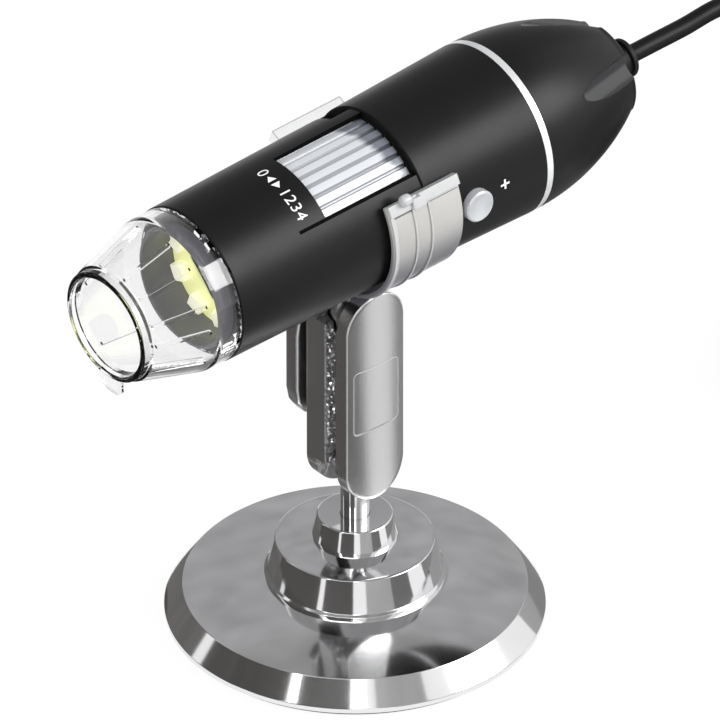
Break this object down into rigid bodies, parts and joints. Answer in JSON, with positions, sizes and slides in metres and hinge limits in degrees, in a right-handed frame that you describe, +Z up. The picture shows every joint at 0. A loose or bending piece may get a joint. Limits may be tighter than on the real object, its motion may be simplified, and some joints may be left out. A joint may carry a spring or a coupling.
{
  "type": "digital microscope",
  "caption": "Handheld digital microscope with a clear lit nose, ribbed focus wheel and fluted tail, clipped to a ball-jointed clamp arm on a round chrome base, with a USB lead.",
  "frame": {"origin": "centre of the base's underside, on the table", "axes": "+Z up, nose towards -Y, cable towards +Y, panel side of the arm towards +X"},
  "size_m": [0.0959, 0.216, 0.1091],
  "materials": {
    "chrome": "mirror chrome",
    "pad": "matt foam rubber",
    "steel": "plain steel",
    "arm_satin": "satin plated",
    "arm_label": "satin, bare",
    "frosted": "frosted clear",
    "body_black": "fine satin black",
    "trim_silver": "bright silver",
    "grommet_black": "soft black",
    "clear_nose": "clear",
    "hood_grey": "dark grey",
    "lamp_board": "white",
    "lamp": "pale yellow",
    "wheel_silver": "bright ribbed",
    "chassis": "matt black",
    "lens_glass": "clear",
    "board_green": "green laminate",
    "chip_black": "black",
    "button_silver": "satin silver",
    "cable_black": "satin black",
    "tie_black": "black",
    "plug_metal": "plated",
    "plug_white": "white"
  },
  "bodies": {
    "base": {"base_disc": "chrome", "base_pad": "pad", "hub_tier": "chrome", "post_collar": "chrome"},
    "post": {"post": "chrome", "base_screw": "steel"},
    "arm": {"arm_near_half": "arm_satin", "arm_far_half": "arm_satin", "arm_panel": "arm_label", "clamp_washer": "steel"},
    "knob": {"clamp_knob": "arm_satin", "clamp_bolt": "steel"},
    "stud": {"ball_stud": "steel"},
    "cradle": {"cradle": "frosted"},
    "scope": {"front_barrel": "body_black", "rear_shell": "body_black", "trim_ring": "trim_silver", "tail_cap": "body_black", "cable_grommet": "grommet_black", "nose_cap": "clear_nose", "lens_hood": "hood_grey", "lamp_board": "lamp_board", "lamps": "lamp", "chassis_tube": "chassis", "sensor_board": "board_green", "image_sensor": "chip_black", "main_board": "board_green", "board_chips": "chip_black", "zoom_switch": "chip_black", "snap_switch": "chip_black", "cable_inner": "cable_black", "cable_free": "cable_black", "cable_coil": "cable_black", "cable_tie": "tie_black", "plug_grip": "cable_black", "plug_shell": "plug_metal", "plug_tongue": "plug_white"},
    "focus_ring": {"focus_wheel": "wheel_silver"},
    "lens_group": {"lens_carriage": "chassis", "front_lens": "lens_glass", "rear_lens": "lens_glass", "lens_retainer": "chassis"},
    "zoom": {"zoom_button": "button_silver"},
    "snap": {"snap_button": "button_silver"}
  },
  "joints": [
    {"name": "stand_swivel", "type": "hinge", "parent": "base", "child": "post", "pos_m": [0, 0, 0.035], "axis": [0, 0, 1], "continuous": true},
    {"name": "arm_tilt", "type": "hinge", "parent": "post", "child": "arm", "pos_m": [0, 0, 0.035], "axis": [1, 0, 0], "range_deg": [-25, 25]},
    {"name": "clamp_turn", "type": "hinge", "parent": "arm", "child": "knob", "pos_m": [0, 0, 0.05025], "axis": [1, 0, 0], "range_deg": [-180, 180]},
    {"name": "cradle_tilt", "type": "hinge", "parent": "arm", "child": "stud", "pos_m": [0, 0, 0.0655], "axis": [1, 0, 0], "range_deg": [-45, 45]},
    {"name": "cradle_swivel", "type": "hinge", "parent": "stud", "child": "cradle", "pos_m": [0, 0, 0.0655], "axis": [0, -0.0523, 0.9986], "continuous": true},
    {"name": "scope_slide", "type": "slide", "parent": "cradle", "child": "scope", "axis": [0, 0.9986, 0.0523], "range_m": [0, 0.012]},
    {"name": "focus_turn", "type": "hinge", "parent": "scope", "child": "focus_ring", "pos_m": [0, -0.0013, 0.09026], "axis": [0, 0.9986, 0.0523], "range_deg": [-150, 150]},
    {"name": "lens_slide", "type": "slide", "parent": "scope", "child": "lens_group", "axis": [0, 0.9986, 0.0523], "range_m": [-0.003, 0.003]},
    {"name": "zoom_press", "type": "slide", "parent": "scope", "child": "zoom", "axis": [-1, 0, 0], "range_m": [0, 0.0006], "stiffness_N_per_m": 900},
    {"name": "snap_press", "type": "slide", "parent": "scope", "child": "snap", "axis": [1, 0, 0], "range_m": [0, 0.0006], "stiffness_N_per_m": 900}
  ],
  "couplings": [
    {"joint": "lens_slide", "follows": "focus_turn", "m_per_rad": 0.0011459}
  ]
}
